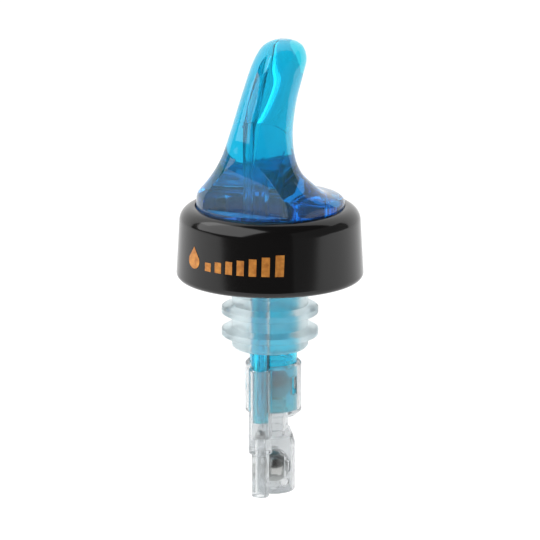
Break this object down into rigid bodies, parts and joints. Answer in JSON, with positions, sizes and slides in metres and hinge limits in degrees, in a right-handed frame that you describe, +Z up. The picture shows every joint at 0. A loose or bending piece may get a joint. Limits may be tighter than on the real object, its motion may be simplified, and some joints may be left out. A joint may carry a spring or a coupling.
{
  "type": "liquor pour spout",
  "caption": "Measured-pour bottle spout: tinted pouring horn, gloss collar, finned soft stopper and a clear ball-valve body with captive metering balls.",
  "frame": {"origin": "on the stopper's axis, midway between its two sealing fins", "axes": "+Z up along the stopper's axis towards the spout's tip, +X towards the side that it pours to, -X the breather and printed side"},
  "size_m": [0.0424, 0.0424, 0.104],
  "materials": {
    "tinted_plastic": "clear gloss, tinted blue",
    "black_plastic": "gloss black",
    "frosted_stopper": "soft, frosted and translucent",
    "clear_plastic": "clear gloss",
    "orange_ink": "printed ink",
    "ball_steel": "polished steel"
  },
  "bodies": {
    "root": {"pour_spout": "tinted_plastic", "inner_tube": "tinted_plastic", "collar": "black_plastic", "stopper": "frosted_stopper", "valve_body": "clear_plastic", "cage_cap": "clear_plastic", "volume_mark": "orange_ink"},
    "upper_ball": {"upper_ball": "ball_steel"},
    "lower_ball": {"lower_ball": "ball_steel"},
    "breather_ball": {"breather_ball": "ball_steel"}
  },
  "joints": [
    {"name": "upper_ball_lift", "type": "slide", "parent": "root", "child": "upper_ball", "axis": [0, 0, 1], "range_m": [0, 0.00175]},
    {"name": "lower_ball_lift", "type": "slide", "parent": "root", "child": "lower_ball", "axis": [0, 0, 1], "range_m": [0, 0.00395]},
    {"name": "breather_ball_lift", "type": "slide", "parent": "root", "child": "breather_ball", "axis": [0, 0, 1], "range_m": [0, 0.0024]}
  ]
}
